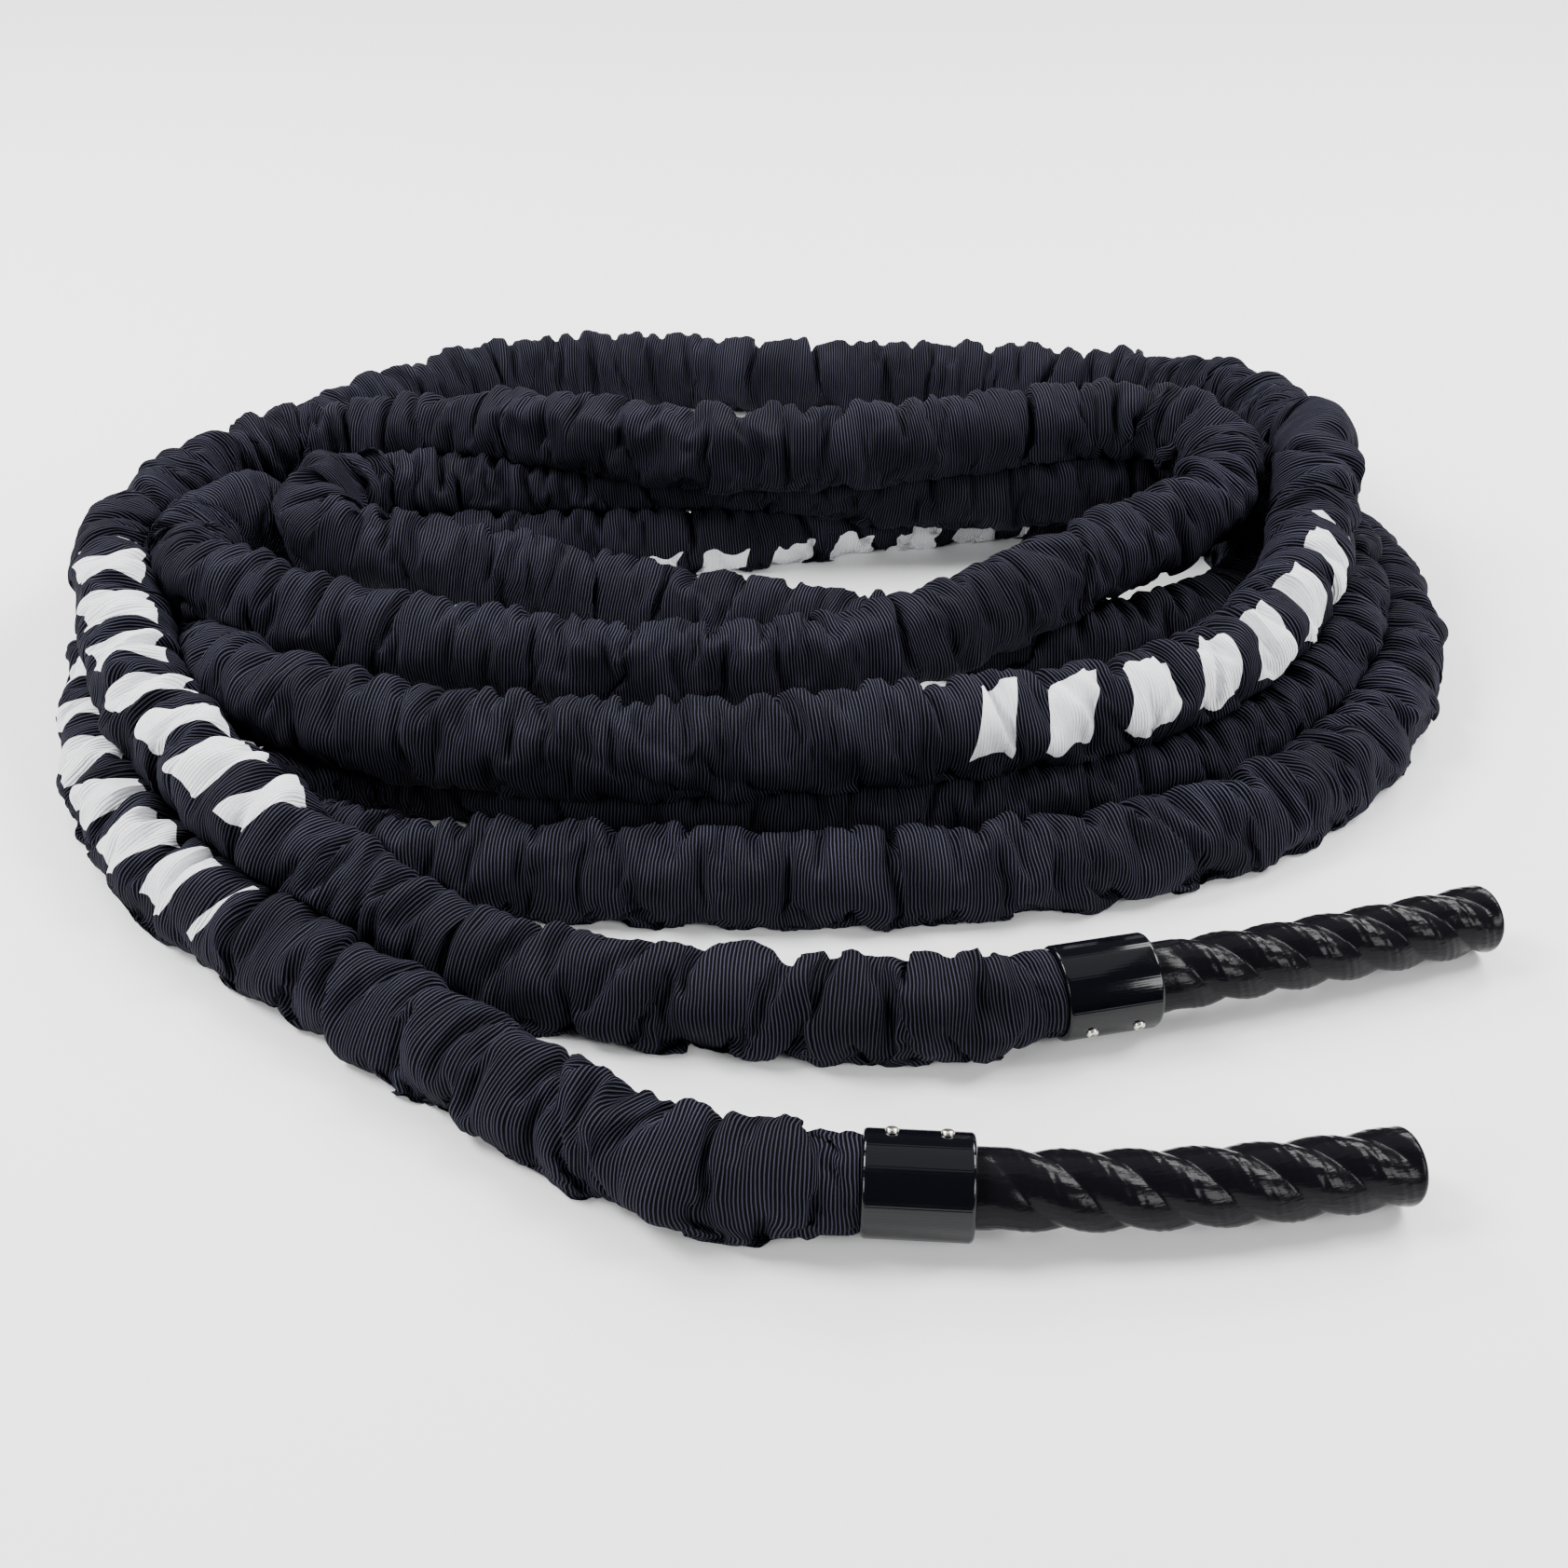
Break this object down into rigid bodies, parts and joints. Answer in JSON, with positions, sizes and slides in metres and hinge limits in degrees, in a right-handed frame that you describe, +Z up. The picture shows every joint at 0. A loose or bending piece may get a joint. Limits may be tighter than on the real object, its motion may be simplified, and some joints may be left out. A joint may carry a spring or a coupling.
{
  "type": "battle rope",
  "caption": "Heavy training rope in a woven sleeve, folded double and coiled, with clamped and shrunk grips at both ends.",
  "frame": {"origin": "middle of the base of the whole rope's box, on the floor that it lies on", "axes": "+Z up, +X towards the two grips, +Y away from the grips' side of the coil"},
  "size_m": [1.0401, 1.1012, 0.1344],
  "materials": {
    "sleeve_fabric": "matte ribbed weave",
    "core_rope": "matte laid strands",
    "grip_film": "satin shrunk film",
    "collar_plastic": "gloss moulded",
    "screw_steel": "bright zinc plate"
  },
  "bodies": {
    "root": {"sleeve_coil": "sleeve_fabric", "sleeve_front_tail": "sleeve_fabric", "sleeve_rear_tail": "sleeve_fabric", "core_coil": "core_rope", "core_front_tail": "core_rope", "core_rear_tail": "core_rope", "core_front_grip": "core_rope", "core_rear_grip": "core_rope", "grip_front": "grip_film", "grip_rear": "grip_film", "collar_front": "collar_plastic", "collar_rear": "collar_plastic", "screw_front_inner": "screw_steel", "screw_front_outer": "screw_steel", "screw_rear_inner": "screw_steel", "screw_rear_outer": "screw_steel"}
  },
  "joints": []
}
